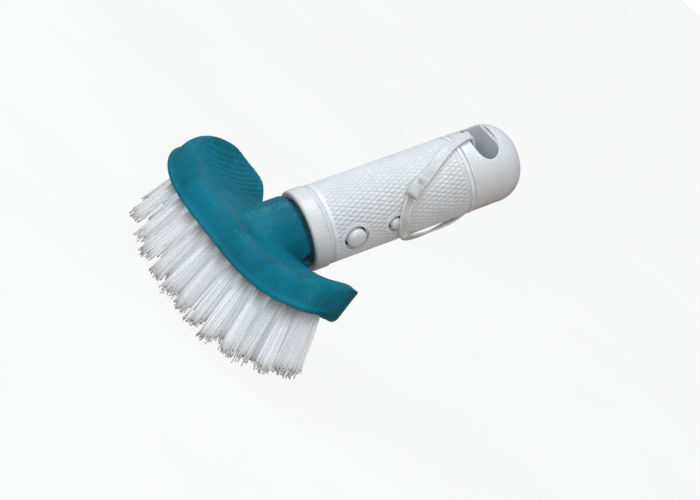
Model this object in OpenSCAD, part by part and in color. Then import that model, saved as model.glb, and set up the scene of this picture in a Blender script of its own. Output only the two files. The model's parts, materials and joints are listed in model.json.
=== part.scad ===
// Hand-held pool wall brush: a curved brush head on a short clip-on grip.
// Origin: middle of the head's bristle-side rim plane. +Z points from the
// bristles to the back, Y runs along the head, and the handle leans to -X.

/* [Head] */
// Half length of the head at the bristle-side rim
head_half_l = 70.8; // [66:0.1:74]
// Half width of the head at the bristle-side rim
head_half_w = 25.8; // [24.5:0.1:28]
// Height of the rim band beside the handle
band_h = 12.4; // [12:0.1:15]
// Rise of each end of the rim above its middle
end_rise = 9.6; // [6:0.1:11]
// Rise of each wing's tip above the middle of the back
tip_lift = 12.2; // [8:0.1:14]
// Extra rise of the back's far edge on each wing
lobe_lift = 5.6; // [0:0.1:6]
// Extra rise of the back's near edge on each wing
edge_lift = 1.9; // [0:0.1:3]
// How far the far side of the rim is drawn in beside the handle, as a share
waist = 0.28; // [0:0.02:0.3]
// How far the rim's ends are cut back towards the far side, as a share
end_skew = 0.11; // [0:0.01:0.12]
// Extra rise of the rim's ends towards the far side
end_curl = 6.3; // [0:0.1:7]
// Outer radius of the collar that carries the handle
collar_r = 18; // [17:0.25:18.25]

/* [Bristles] */
// Free length of the bristles
bristle_l = 34; // [25:1:40]
// Distance between tufts along the head, which each row rounds to fit its length
tuft_pitch = 10.4; // [10:0.1:12]
// Distance between rows of tufts
row_pitch = 9; // [8.5:0.1:9.5]
// Radius of a tuft where it leaves its hole
tuft_r = 2.4; // [2:0.1:2.6]
// Outward lean of the outermost tufts along the head, in degrees
fan_l = 18; // [10:1:25]
// Outward lean of the outermost tufts across the head, in degrees
fan_w = 8; // [5:1:15]

/* [Handle] */
// Lean of the handle from the head's normal, in degrees
lean = 45; // [40:1:50]
// Radius of the grip
grip_r = 18.5; // [18:0.25:20]
// Distance along the handle from the origin to the front collar
collar_s = 26; // [25:0.5:28]
// Distance along the handle from the origin to the start of the grip
grip_s = 34; // [33:0.5:36]
// Length of the grip
grip_l = 73.5; // [65:0.5:80]
// Length of the end cap beyond the grip
cap_l = 28.5; // [26:0.5:30]

/* [Press clip] */
// Distance of the press buttons behind the start of the grip
button_s = 12.5; // [11:0.5:14]
// Radius of a press button
button_r = 4.9; // [4:0.1:5.5]
// Distance of the lock pins behind the start of the grip
pin_s = 32.5; // [30:0.5:34]
// Radius of a lock pin
pin_r = 3; // [2.5:0.1:3.5]

/* [Hidden] */
$fn = 96;

fit_gap = 0.05;                       // running clearance, radial
spigot_r = 15;                        // standard spigot of pool tools
spigot_bore_r = 12;
spigot_start = 24;                    // the bore stays clear of the tuft holes
spigot_end = 82;
core_r = 16.6;                        // outside of the handle's inner tube
cap_s = grip_s + grip_l;
tip_s = cap_s + cap_l;

// Head: superellipse outlines, the back's one pinched beside the handle.
rim_power = 3.05;
back_half_l = head_half_l - 8.1;
back_shift = -4;
back_near_w = head_half_w + 1.2;
back_far_w = head_half_w - 5.3;
near_pinch = 6;
far_pinch = 14.5;
pinch_l = 32.5;
lobe_y = 0.66 * head_half_l;
lobe_spread = 15;
lobe_x = 22;
skin_x = 4;                           // the rings shrink towards this place
outline_steps = 72;
// Side wall from the rim to the back: share of the way in, share of the height.
WALL = [[0.02, 0], [0, 0.04], [0.045, 0.12], [0.16, 0.19], [0.23, 0.31], [0.29, 0.46],
    [0.39, 0.64], [0.55, 0.81], [0.78, 0.94], [1, 1]];
INNER = [0.9, 0.7, 0.45, 0.2];        // rings that carry the curves to the middle

function mix(a, b, t) = a + (b - a) * t;
function signed_power(v, e) = sign(v) * pow(abs(v), e);
function pinch(y) = exp(-pow(y / pinch_l, 4));
function draw_in(x, y) = x < 0 ? x * (1 - waist * pinch(y)) : x;
function smooth_step(low, high, v) = let (t = max(0, min(1, (v - low) / (high - low)))) t * t * (3 - 2 * t);
function far_share(x) = smooth_step(12, -14, x);
function rim_z(x, y) = end_rise * pow(y / head_half_l, 4) + end_curl * far_share(x) * smooth_step(48, 66, abs(y));
function back_z(x, y) = band_h + tip_lift * pow(abs(y) / back_half_l, 4.8)
    + (x < 0 ? lobe_lift : edge_lift) * pow(x / lobe_x, 2) * exp(-pow((abs(y) - lobe_y) / lobe_spread, 2));

function rim_xy(u) =
    let (
        y = head_half_l * signed_power(sin(u), 2 / rim_power),
        x = head_half_w * signed_power(cos(u), 2 / rim_power)
    )
    [draw_in(x, y), y * (1 - end_skew * far_share(x))];
function back_xy(u) =
    let (
        y = back_half_l * signed_power(sin(u), 2 / rim_power),
        c = signed_power(cos(u), 2 / rim_power),
        w = c < 0 ? back_far_w : back_near_w,
        p = c < 0 ? far_pinch : near_pinch
    )
    [back_shift + (w - p * pinch(y)) * c, y];
function shrink(q, k) = [skin_x + k * (q[0] - skin_x), k * q[1]];

function under_point(u, k) = let (q = shrink(mix(rim_xy(u), back_xy(u), WALL[0][0]), k)) [q[0], q[1], rim_z(q[0], q[1])];
function wall_point(u, w) =
    let (r = rim_xy(u), b = back_xy(u), q = mix(r, b, w[0]))
    [q[0], q[1], mix(rim_z(r[0], r[1]), back_z(b[0], b[1]), w[1])];
function top_point(u, k) = let (q = shrink(back_xy(u), k)) [q[0], q[1], back_z(q[0], q[1])];

ANGLES = [for (i = [0:outline_steps - 1]) 360 * i / outline_steps];
HEAD_RINGS = concat(
    [for (i = [len(INNER) - 1:-1:0]) [for (u = ANGLES) under_point(u, INNER[i])]],
    [for (w = WALL) [for (u = ANGLES) wall_point(u, w)]],
    [for (k = INNER) [for (u = ANGLES) top_point(u, k)]]);

// A closed skin through a stack of rings, with a point at each end.
module ring_skin(rings, first, last) {
    n = len(rings[0]);
    m = len(rings);
    points = concat([for (r = rings) each r], [first, last]);
    quads = [for (j = [0:m - 2]) for (i = [0:n - 1])
        let (a = j * n + i, b = j * n + (i + 1) % n)
        each [[a, b, b + n], [a, b + n, a + n]]];
    ends = [for (i = [0:n - 1]) each [
        [m * n, (i + 1) % n, i],
        [m * n + 1, (m - 1) * n + i, (m - 1) * n + (i + 1) % n]]];
    polyhedron(points, concat([for (f = quads) [f[2], f[1], f[0]]], [for (f = ends) [f[2], f[1], f[0]]]));
}

// Handle frame: local Z along the handle, local Y along the head.
module on_handle(s = 0) {
    rotate([0, -lean, 0]) translate([0, 0, s]) children();
}

// Something on one side of the handle, its local Z pointing out along Y.
module on_side(side, s) {
    on_handle(s) rotate([-90 * side, 0, 0]) children();
}

module tube(r_out, r_in, h) {
    difference() {
        cylinder(r = r_out, h = h);
        translate([0, 0, -1]) cylinder(r = r_in, h = h + 2);
    }
}

// Tufts: rows across the head, fanned out both ways.
hole_gap = 0.05;
hole_deep = 7;
tuft_deep = 5.8;
tip_r = 4.5;
rows_each_side = 2;
tuft_limit = head_half_l - 11.8;
row_limit = head_half_w + 0.7;
row_edge = rows_each_side * row_pitch;

// The rows end on an ellipse. Odd rows are staggered by half a pitch.
function stagger(row) = row % 2 == 0 ? 0 : 0.5;
function row_reach(row) = tuft_limit * sqrt(1 - pow(row * row_pitch / row_limit, 2));
function row_steps(row) = round(row_reach(row) / tuft_pitch - stagger(row)) + stagger(row);

module at_tufts(row) {
    x = row * row_pitch;
    steps = row_steps(row);
    for (i = [-steps:steps]) {
        y = i * row_reach(row) / steps;
        translate([draw_in(x, y), y, rim_z(x, y)])
            rotate([fan_l * y / tuft_limit, -fan_w * x / row_edge, 0])
                children();
    }
}

module tuft() {
    union() {
        translate([0, 0, -0.2]) cylinder(r = tuft_r, h = tuft_deep + 0.2, $fn = 24);
        translate([0, 0, -bristle_l]) cylinder(r1 = tip_r, r2 = tuft_r, h = bristle_l - 0.2, $fn = 24);
    }
}

module tuft_row(row) {
    color("whitesmoke") at_tufts(row) tuft();
}

module tuft_holes() {
    for (row = [-rows_each_side:rows_each_side])
        at_tufts(row)
            translate([0, 0, -4]) cylinder(r = tuft_r + hole_gap, h = hole_deep + 4, $fn = 24);
}

module tuft_anchors() {
    color("silver")
        for (row = [-rows_each_side:rows_each_side])
            at_tufts(row)
                translate([-1.7, -0.25, tuft_deep + 0.1]) cube([3.4, 0.5, 0.9]);
}

// Head: plate, collar and spigot in one moulding.
collar_root = 6;
module head_body() {
    color("teal") difference() {
        union() {
            ring_skin(HEAD_RINGS, [skin_x, 0, 0], [skin_x, 0, band_h]);
            intersection() {
                on_handle(collar_root - 20) cylinder(r = collar_r, h = collar_s - 2.2 - collar_root + 20);
                translate([-60, -30, 3]) cube([100, 60, 60]);
            }
            on_handle(collar_s - 8) cylinder(r = spigot_r, h = spigot_end - collar_s + 8);
        }
        on_handle(spigot_start) cylinder(r = spigot_bore_r, h = spigot_end);
        for (side = [-1, 1]) {
            on_side(side, grip_s + button_s) cylinder(r = button_r + 0.6, h = spigot_r + 1);
            on_side(side, grip_s + pin_s) cylinder(r = pin_r + 0.4, h = spigot_r + 1);
        }
        tuft_holes();
    }
}

// Spring clip inside the spigot: a bow with an arm on each side.
strip_t = 0.8;
strip_w = 8;
arm_y = 10.4;                         // inner face of an arm
arm_start = 40;
arm_end = grip_s + pin_s + 5;
bow_gap = 0.1;

module clip_bow() {
    color("silver") on_handle(arm_start - bow_gap)
        rotate([0, 90, 0])
            translate([0, 0, -strip_w / 2])
                difference() {
                    cylinder(r = arm_y + strip_t, h = strip_w);
                    translate([0, 0, -1]) cylinder(r = arm_y, h = strip_w + 2);
                    translate([-20, -20, -1]) cube([20, 40, strip_w + 2]);
                }
}

module clip_arm(side) {
    color("silver") difference() {
        on_handle()
            translate([-strip_w / 2, side > 0 ? arm_y : -arm_y - strip_t, arm_start])
                cube([strip_w, strip_t, arm_end - arm_start]);
        for (s = [button_s, pin_s])
            on_side(side, grip_s + s) cylinder(r = rivet_r + rivet_gap, h = 20);
    }
}

// Buttons and pins ride on the arms, each held by a rivet.
rivet_r = 1;
rivet_gap = 0.03;
rivet_deep = 3;
stud_base = arm_y + strip_t + 0.02;
button_top = 20.6;
pin_top = 19.6;

module domed_stud(r, top, dome) {
    ball = (r * r + dome * dome) / (2 * dome);
    difference() {
        union() {
            translate([0, 0, stud_base]) cylinder(r = r, h = top - dome - stud_base);
            rotate_extrude()
                intersection() {
                    translate([0, top - ball]) circle(r = ball);
                    translate([0, top - dome - 0.5]) square([r, dome + 1]);
                }
        }
        translate([0, 0, stud_base - 1]) cylinder(r = rivet_r + rivet_gap, h = rivet_deep + 1);
    }
}

module press_button(side) {
    color("white") on_side(side, grip_s + button_s) domed_stud(button_r, button_top, 1.9);
}

module lock_pin(side) {
    color("white") on_side(side, grip_s + pin_s) domed_stud(pin_r, pin_top, 1.4);
}

module clip_rivets(side) {
    color("silver") for (s = [button_s, pin_s])
        on_side(side, grip_s + s) {
            translate([0, 0, arm_y - 0.62]) cylinder(r = 1.8, h = 0.6);
            translate([0, 0, arm_y - 0.3]) cylinder(r = rivet_r, h = strip_t + rivet_deep);
        }
}

// Handle: inner tube, front collar, grip sleeve and end cap.
module side_holes(extra) {
    for (side = [-1, 1]) {
        on_side(side, grip_s + button_s) cylinder(r = button_r + extra, h = grip_r + 3);
        on_side(side, grip_s + pin_s) cylinder(r = pin_r + extra, h = grip_r + 3);
    }
}

module handle_core() {
    color("white") difference() {
        on_handle(collar_s + 1) tube(core_r, spigot_r + fit_gap, cap_s - 0.1 - collar_s - 1);
        side_holes(0.6);
    }
}

module front_collar() {
    wall_r = grip_r + 0.55;
    round_r = 1.2;
    color("ivory") on_handle(collar_s) rotate_extrude()
        difference() {
            union() {
                translate([spigot_r + 0.9, 0]) square([wall_r - spigot_r - 0.9 - round_r, 1]);
                translate([core_r + 0.02, 0]) square([wall_r - core_r - 0.02 - round_r, 2]);
                translate([core_r + 0.02, round_r])
                    square([wall_r - core_r - 0.02, grip_s - collar_s - 0.3 - round_r]);
                translate([wall_r - round_r, round_r]) circle(r = round_r, $fn = 48);
            }
            translate([0, -5]) square([spigot_r + 0.9, 40]);
        }
}

module grip_sleeve() {
    color("white") difference() {
        on_handle(grip_s) tube(grip_r, core_r + 0.02, grip_l - 0.3);
        side_holes(0.7);
    }
}

slot_w = 10;                          // along the handle
slot_l = 24;                          // across the handle
slot_s = cap_s + 11.5;
dome_h = 13.5;
plug_l = 12;

module end_cap() {
    color("white") difference() {
        union() {
            on_handle(cap_s) cylinder(r = grip_r - 0.2, h = cap_l - dome_h);
            on_handle(tip_s - dome_h) cap_dome();
            on_handle(cap_s - plug_l) cylinder(r = spigot_r, h = plug_l + 1);
        }
        on_handle(slot_s) hang_slot();
        on_handle(cap_s - plug_l - 1) cylinder(r = spigot_bore_r, h = plug_l + 4);
    }
}

// Rounded end of the cap: a flat middle with a quarter-round shoulder.
module cap_dome() {
    rotate_extrude()
        intersection() {
            translate([grip_r - 0.2 - dome_h, 0]) union() {
                circle(r = dome_h);
                translate([dome_h - grip_r, 0]) square([grip_r - dome_h, dome_h]);
            }
            square([grip_r, dome_h]);
        }
}

module hang_slot() {
    for (y = [-1, 1])
        translate([-30, y * (slot_l - slot_w) / 2, 0]) rotate([0, 90, 0]) cylinder(r = slot_w / 2, h = 60);
    translate([-30, -(slot_l - slot_w) / 2, -slot_w / 2]) cube([60, slot_l - slot_w, slot_w]);
}

// Cable tie: a loose loop through the hang slot and round the grip.
tie_w = 4.7;
tie_t = 1.1;
tie_out = grip_r + 0.5 + tie_t / 2;
tie_steps = 60;
// Stations of the loop outside the slot: angle round the handle, distance
// along it, and how far it stands off the grip.
TIE = [[2, slot_s - 1, 0], [5, slot_s - 13, 0], [23, slot_s - 25, 0], [43, slot_s - 36, 0.1],
    [62, slot_s - 45, 0.3], [78, slot_s - 48.6, 0.9], [92, slot_s - 50, 1.1], [107, slot_s - 50, 1],
    [120, slot_s - 47, 1.4], [130, slot_s - 40, 1.8], [142, slot_s - 30, 1.6], [158, slot_s - 19, 1],
    [174, slot_s - 10, 0.4], [178, slot_s - 1, 0.1]];

function tie_at(t) =
    let (
        n = len(TIE) - 1,
        i = min(n - 1, floor(t * n)),
        f = t * n - i,
        p0 = TIE[max(0, i - 1)], p1 = TIE[i], p2 = TIE[i + 1], p3 = TIE[min(n, i + 2)]
    )
    0.5 * (2 * p1 + (p2 - p0) * f + (2 * p0 - 5 * p1 + 4 * p2 - p3) * f * f
        + (3 * p1 - p0 - 3 * p2 + p3) * f * f * f);
function tie_point(t) =
    let (q = tie_at(t), rr = tie_out + q[2])
    [rr * cos(q[0]), rr * sin(q[0]), q[1]];
function tie_section(t) =
    let (
        d = 0.001,
        c = tie_point(t),
        a = tie_point(min(1, t + d)) - tie_point(max(0, t - d)),
        along = a / norm(a),
        q = tie_at(t),
        out = [cos(q[0]), sin(q[0]), 0],
        side0 = cross(along, out),
        side = side0 / norm(side0),
        up = cross(side, along)
    )
    [for (k = [[-1, 1], [1, 1], [1, -1], [-1, -1]]) c + side * k[0] * tie_w / 2 + up * k[1] * tie_t / 2];

module cable_tie() {
    sections = [for (i = [0:tie_steps]) tie_section(i / tie_steps)];
    middle = function (q) (q[0] + q[1] + q[2] + q[3]) / 4;
    color("gainsboro") on_handle() {
        ring_skin(sections, middle(sections[0]), middle(sections[tie_steps]));
        translate([-tie_out - tie_t / 2, -tie_w / 2, slot_s - 2]) cube([2 * tie_out + tie_t, tie_w, tie_t]);
        rotate([0, 0, 50]) translate([tie_out - 0.4, -3.7, 73.2]) cube([4.6, 7.4, 7.6]);
    }
}

head_body();
tuft_row(2);  // tufts_front
tuft_row(1);  // tufts_mid_front
tuft_row(0);  // tufts_centre
tuft_row(-1);  // tufts_mid_rear
tuft_row(-2);  // tufts_rear
tuft_anchors();
clip_bow();
clip_arm(-1);  // clip_arm_left
clip_arm(1);  // clip_arm_right
press_button(-1);  // press_button_left
press_button(1);  // press_button_right
lock_pin(-1);  // lock_pin_left
lock_pin(1);  // lock_pin_right
clip_rivets(-1);  // clip_rivets_left
clip_rivets(1);  // clip_rivets_right
handle_core();
front_collar();
grip_sleeve();
end_cap();
cable_tie();
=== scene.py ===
"""Looks of a pool wall brush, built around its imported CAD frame.

Shapes are worked out in millimetres and stored in metres. The head's frame has its
origin in the middle of the rim, X across the head, Y along it and Z towards its back.
The handle's frame shares that origin: its third axis runs along the handle, its second
along the head and its first points out over the near side of the head.
"""
import json
import math

import bmesh
import bpy
import numpy as np
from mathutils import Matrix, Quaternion, Vector, kdtree


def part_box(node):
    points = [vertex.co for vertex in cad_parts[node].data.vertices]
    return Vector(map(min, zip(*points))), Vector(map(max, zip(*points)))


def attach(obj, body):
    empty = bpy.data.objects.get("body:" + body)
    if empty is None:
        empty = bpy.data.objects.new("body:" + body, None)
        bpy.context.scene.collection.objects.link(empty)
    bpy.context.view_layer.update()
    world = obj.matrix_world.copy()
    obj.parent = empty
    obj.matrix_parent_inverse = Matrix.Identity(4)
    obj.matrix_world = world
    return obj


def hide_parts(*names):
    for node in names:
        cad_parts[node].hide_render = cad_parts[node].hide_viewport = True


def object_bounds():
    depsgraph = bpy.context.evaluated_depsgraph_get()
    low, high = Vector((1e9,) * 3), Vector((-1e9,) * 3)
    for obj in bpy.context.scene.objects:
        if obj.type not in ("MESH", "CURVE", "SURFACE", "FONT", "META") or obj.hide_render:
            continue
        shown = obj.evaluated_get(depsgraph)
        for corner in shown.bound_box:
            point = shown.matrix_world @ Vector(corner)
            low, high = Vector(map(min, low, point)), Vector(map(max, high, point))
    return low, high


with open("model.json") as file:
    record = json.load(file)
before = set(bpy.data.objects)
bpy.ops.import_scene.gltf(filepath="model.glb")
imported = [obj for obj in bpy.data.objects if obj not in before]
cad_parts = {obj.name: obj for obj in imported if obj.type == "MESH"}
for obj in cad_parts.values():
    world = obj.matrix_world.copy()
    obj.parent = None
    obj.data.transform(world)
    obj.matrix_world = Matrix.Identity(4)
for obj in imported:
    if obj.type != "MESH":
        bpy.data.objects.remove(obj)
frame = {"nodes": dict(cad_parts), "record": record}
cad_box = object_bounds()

MM = 0.001
SEED = 11


# ---------------------------------------------------------------- frame

def mount(name):
    return next(m for m in frame["record"]["mounts"] if m["name"] == name)


def cad_points(node):
    return np.array([v.co for v in frame["nodes"][node].data.vertices]) / MM


ALONG = np.array(mount("pole_axis")["axis"], float)
ALONG /= np.linalg.norm(ALONG)
ACROSS = np.array([0.0, 1.0, 0.0])
OUT = np.cross(ACROSS, ALONG)
HANDLE = np.array([OUT, ACROSS, ALONG])


def reach(node):
    """Start, end and radius of a CAD node along and around the handle."""
    local = cad_points(node) @ HANDLE.T
    return local[:, 2].min(), local[:, 2].max(), np.hypot(local[:, 0], local[:, 1]).max()


head_box = [np.array(corner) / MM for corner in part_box("head_body")]
HALF_L = head_box[1][1]
HALF_W = head_box[1][0]
spigot_r = mount("pole_axis")["dims"]["r_mm"]
ring_start, ring_end, ring_r = reach("front_collar")
grip_start, grip_end, grip_r = reach("grip_sleeve")
core_r = reach("handle_core")[2]
plug_start, tip_end, cap_r = reach("end_cap")
cap_start = grip_end + 0.3
spigot_end = reach("head_body")[1]
slot_s = float(np.dot(mount("hang_slot")["pos_m"], ALONG)) / MM
slot_half_w = mount("hang_slot")["dims"]["r_mm"]
spigot_bore_r = 12.0


def stud(node):
    """Station, radius, top and base of a round stud that points along Y."""
    points = cad_points(node)
    local = points @ HANDLE.T
    station = (local[:, 2].min() + local[:, 2].max()) / 2
    radius = (local[:, 2].max() - local[:, 2].min()) / 2
    return station, radius, abs(points[:, 1]).max(), abs(points[:, 1]).min()


button_s, button_r, button_top, stud_base = stud("press_button_right")
pin_s, pin_r, pin_top, _ = stud("lock_pin_right")


# ---------------------------------------------------------------- mesh tools

def mix(a, b, t):
    return a + (b - a) * t


def smooth_step(low, high, v):
    t = np.clip((v - low) / (high - low), 0, 1)
    return t * t * (3 - 2 * t)


def curve_through(stations, count):
    """Catmull-Rom curve through stations, as count evenly spread samples."""
    p = np.array(stations, float)
    p = np.vstack([2 * p[0] - p[1], p, 2 * p[-1] - p[-2]])
    t = np.linspace(0, len(stations) - 1, count)
    i = np.minimum(t.astype(int), len(stations) - 2)
    f = (t - i)[:, None]
    a, b, c, d = p[i], p[i + 1], p[i + 2], p[i + 3]
    return 0.5 * (2 * b + (c - a) * f + (2 * a - 5 * b + 4 * c - d) * f ** 2
                  + (3 * b - a - 3 * c + d) * f ** 3)


def full_turn(steps):
    """Evenly spread angles of one turn."""
    return 2 * math.pi * np.arange(steps) / steps


def skin(rings, loop=False):
    """Points and faces of a closed skin through rings. A loop joins its last ring to its first."""
    rings = np.asarray(rings, float)
    m, n = rings.shape[:2]
    points = rings.reshape(-1, 3)
    j, i = np.meshgrid(np.arange(m if loop else m - 1), np.arange(n), indexing="ij")
    k = (i + 1) % n
    below = (j + 1) % m
    faces = np.stack([j * n + i, j * n + k, below * n + k, below * n + i], -1).reshape(-1, 4).tolist()
    if not loop:
        points = np.vstack([points, rings[0].mean(0), rings[-1].mean(0)])
        first, last, end = m * n, m * n + 1, (m - 1) * n
        for i in range(n):
            faces.append([first, (i + 1) % n, i])
            faces.append([last, end + i, end + (i + 1) % n])
    return points, faces


def turned(profile, steps, loop=False, radius_at=None):
    """Solid of revolution about local Z. The profile of (radius, height) points is open, or a loop.

    radius_at gives the radius all round from a profile radius, its height and the angles.
    """
    angles = full_turn(steps)
    rings = []
    for radius, height in profile:
        around = radius if radius_at is None else radius_at(radius, height, angles)
        rings.append(round_z(angles, around, height))
    return skin(rings, loop)


def round_z(angles, radius, height):
    """Points round local Z; radius and height may change from point to point."""
    return np.stack([radius * np.cos(angles), radius * np.sin(angles), height + 0 * angles], -1)


def arc(centre, radius, start, end, count):
    """Points of an arc in the (radius, height) plane, angles in degrees."""
    a = np.radians(np.linspace(start, end, count))
    return [(centre[0] + radius * math.cos(t), centre[1] + radius * math.sin(t)) for t in a]


def from_front(angles):
    """How far round from the near side each angle lies, on either hand."""
    return np.abs((angles + math.pi) % (2 * math.pi) - math.pi)


def on_handle(shape):
    points, faces = shape
    return np.asarray(points) @ HANDLE, faces


def on_side(shape, side, s):
    """Turns a shape's local Z to point out along Y on one side of the handle."""
    points, faces = shape
    p = np.asarray(points)
    turned_points = np.stack([p[:, 0], side * p[:, 2], -side * p[:, 1]], 1)
    turned_points[:, 2] += s
    return turned_points @ HANDLE, faces


def joined(*shapes):
    points, faces, base = [], [], 0
    for shape_points, shape_faces in shapes:
        points.append(np.asarray(shape_points))
        faces += [[base + i for i in f] for f in shape_faces]
        base += len(shape_points)
    return np.vstack(points), faces


def new_object(name, shape):
    """A mesh object from points in millimetres, with its faces turned outward."""
    points, faces = shape
    mesh = bpy.data.meshes.new(name)
    mesh.from_pydata((np.asarray(points) * MM).tolist(), [], faces)
    bm = bmesh.new()
    bm.from_mesh(mesh)
    bmesh.ops.remove_doubles(bm, verts=bm.verts, dist=1e-7)
    bmesh.ops.recalc_face_normals(bm, faces=bm.faces)
    bm.to_mesh(mesh)
    bm.free()
    mesh.shade_smooth()
    obj = bpy.data.objects.new(name, mesh)
    bpy.context.scene.collection.objects.link(obj)
    return obj


def bake(obj):
    """Makes the object's modifiers part of its mesh."""
    graph = bpy.context.evaluated_depsgraph_get()
    mesh = bpy.data.meshes.new_from_object(obj.evaluated_get(graph))
    obj.modifiers.clear()
    obj.data = mesh
    mesh.name = obj.name
    return obj


def cut(obj, shape):
    """Takes a closed shape away from the object."""
    cutter = new_object("cutter", shape)
    boolean = obj.modifiers.new("cut", "BOOLEAN")
    boolean.object = cutter
    boolean.operation = "DIFFERENCE"
    boolean.solver = "MANIFOLD"
    bake(obj)
    bpy.data.objects.remove(cutter)
    return obj


def sharp_shade(obj, degrees=35):
    """Smooth shading that stays crisp where faces meet at more than an angle."""
    obj.data.shade_smooth()
    obj.data.set_sharp_from_angle(angle=math.radians(degrees))


def points_of(obj):
    co = np.zeros(len(obj.data.vertices) * 3, np.float32)
    obj.data.vertices.foreach_get("co", co)
    return co.reshape(-1, 3).astype(float) / MM


def set_points(obj, points):
    obj.data.vertices.foreach_set("co", (points * MM).astype(np.float32).ravel())
    obj.data.update()


def set_value(obj, name, values):
    attribute = obj.data.attributes.new(name, "FLOAT", "POINT")
    attribute.data.foreach_set("value", np.asarray(values, np.float32))


def place(obj, body, material, slot, *nodes):
    """The piece takes its material, rides on its body and stands for CAD nodes."""
    obj.data.materials.clear()
    obj.data.materials.append(material)
    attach(obj, body)
    if nodes:
        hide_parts(*nodes)
    return obj


# ---------------------------------------------------------------- materials

class Shader:
    """Node tree of one material. add() makes a node, sets its options and feeds its inputs."""

    def __init__(self, name):
        self.material = bpy.data.materials.new(name)
        self.material.use_nodes = True
        self.tree = self.material.node_tree
        self.tree.nodes.clear()

    def add(self, kind, inputs=None, **options):
        node = self.tree.nodes.new("ShaderNode" + kind)
        for key, value in options.items():
            setattr(node, key, value)
        for key, value in (inputs or {}).items():
            if isinstance(value, bpy.types.NodeSocket):
                self.tree.links.new(value, node.inputs[key])
            else:
                node.inputs[key].default_value = value
        return node

    def noise(self, scale, detail=4.0, roughness=0.55):
        where = self.add("TexCoord").outputs["Object"]
        return self.add("TexNoise", {"Vector": where, "Scale": scale, "Detail": detail,
                                     "Roughness": roughness}).outputs["Fac"]

    def between(self, value, low, high, to_low=0.0, to_high=1.0):
        """Maps a value from low..high to to_low..to_high, with soft ends."""
        return self.add("MapRange", {"Value": value, "From Min": low, "From Max": high,
                                     "To Min": to_low, "To Max": to_high},
                        interpolation_type="SMOOTHSTEP").outputs["Result"]

    def times(self, a, b):
        return self.add("Math", {0: a, 1: b}, operation="MULTIPLY").outputs[0]

    def blend(self, share, a, b):
        node = self.add("Mix", {0: share}, data_type="RGBA")
        for index, colour in ((6, a), (7, b)):
            if isinstance(colour, bpy.types.NodeSocket):
                self.tree.links.new(colour, node.inputs[index])
            else:
                node.inputs[index].default_value = (*colour, 1.0)
        return node.outputs[2]

    def attribute(self, name):
        return self.add("Attribute", attribute_name=name).outputs["Fac"]

    def bump(self, height, distance, strength=1.0, normal=None):
        inputs = {"Height": height, "Distance": distance, "Strength": strength}
        if normal is not None:
            inputs["Normal"] = normal
        return self.add("Bump", inputs).outputs["Normal"]

    def surface(self, **inputs):
        named = {key.replace("_", " "): value for key, value in inputs.items()}
        principled = self.add("BsdfPrincipled", named)
        self.add("OutputMaterial", {"Surface": principled.outputs[0]})
        return self.material


def moulded_plastic(name, light, dark, worn, shade_colour, roughness, coat, texture_bump,
                    shine=0.5, speckle=0.0):
    """Moulded plastic: cloudy colour, fine skin texture, pale worn edges, painted shade in its creases and
    recesses.
    """
    s = Shader(name)
    clouds = s.between(s.noise(55.0, 3.0), 0.36, 0.64)
    colour = s.blend(clouds, dark, light)
    mottle = s.between(s.noise(420.0, 3.0), 0.35, 0.7, 0.0, 0.25)
    colour = s.blend(mottle, colour, dark)
    point = s.add("NewGeometry").outputs["Pointiness"]
    edge = s.between(point, 0.515, 0.56)
    edge = s.times(edge, s.between(s.noise(260.0), 0.38, 0.62, 0.15, 0.8))
    colour = s.blend(edge, colour, worn)
    # Painted shade: darker where the surface is hollow, found from its pointiness.
    crevice_shade = s.between(point, 0.49, 0.45, 0.0, 0.55)
    colour = s.blend(crevice_shade, colour, shade_colour)
    # Painted shade: the mesh attribute darkens places that lie in shade, varied a little by noise.
    painted_shade = s.times(s.attribute("painted_shade"), s.between(s.noise(180.0), 0.3, 0.7, 0.55, 1.0))
    colour = s.blend(painted_shade, colour, shade_colour)
    colour = s.blend(s.attribute("scuff"), colour, worn)
    if speckle > 0:
        where = s.add("TexCoord").outputs["Object"]
        cells = s.add("TexVoronoi", {"Vector": where, "Scale": 85.0}).outputs["Distance"]
        rare = s.between(s.noise(31.0, 1.0), 0.69, 0.72)
        spots = s.times(s.between(cells, speckle * 1.5, speckle), rare)
        chalk = (0.45, 0.62, 0.66)
        colour = s.blend(spots, colour, chalk)
    skin_noise = s.noise(1500.0, 2.0)
    gloss = s.between(s.noise(70.0, 5.0), 0.3, 0.7, roughness * 0.85, roughness * 1.2)
    wavy = s.bump(s.noise(90.0, 2.0), 0.00035, 0.35)
    normal = s.bump(skin_noise, texture_bump, 0.5, wavy)
    return s.surface(Base_Color=colour, Roughness=gloss, Normal=normal, IOR=1.5,
                     Specular_IOR_Level=shine, Coat_Weight=coat, Coat_Roughness=0.18)


def bristle_nylon():
    """White nylon filaments with dull, slightly soiled tips. 'along' runs from root to tip."""
    s = Shader("bristle_nylon")
    along = s.attribute("along")
    tone = s.attribute("tone")
    pale, greyer = (0.96, 0.97, 0.985), (0.78, 0.80, 0.82)
    shaded_root, soiled_tip = (0.42, 0.46, 0.48), (0.34, 0.27, 0.22)
    colour = s.blend(tone, pale, greyer)
    root = s.between(along, 0.34, 0.0, 0.0, 0.6)
    colour = s.blend(root, colour, shaded_root)
    tip = s.times(s.between(along, 0.955, 1.0), s.between(tone, 0.0, 1.0, 0.35, 1.0))
    colour = s.blend(tip, colour, soiled_tip)
    streak = s.noise(600.0, 2.0)
    gloss = s.between(streak, 0.3, 0.7, 0.35, 0.5)
    # Painted light: the filaments glow faintly, more away from the roots, so that they look brightly lit.
    glow = s.between(along, 0.0, 0.4, 0.02, 0.19)
    nylon = s.add("BsdfPrincipled", {"Base Color": colour, "Roughness": gloss,
                                     "Normal": s.bump(streak, 0.00002, 0.2),
                                     "Emission Color": colour, "Emission Strength": glow})
    through = s.add("BsdfTranslucent", {"Color": colour})
    both = s.add("MixShader", {0: 0.30, 1: nylon.outputs[0], 2: through.outputs[0]})
    s.add("OutputMaterial", {"Surface": both.outputs[0]})
    return s.material


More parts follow.
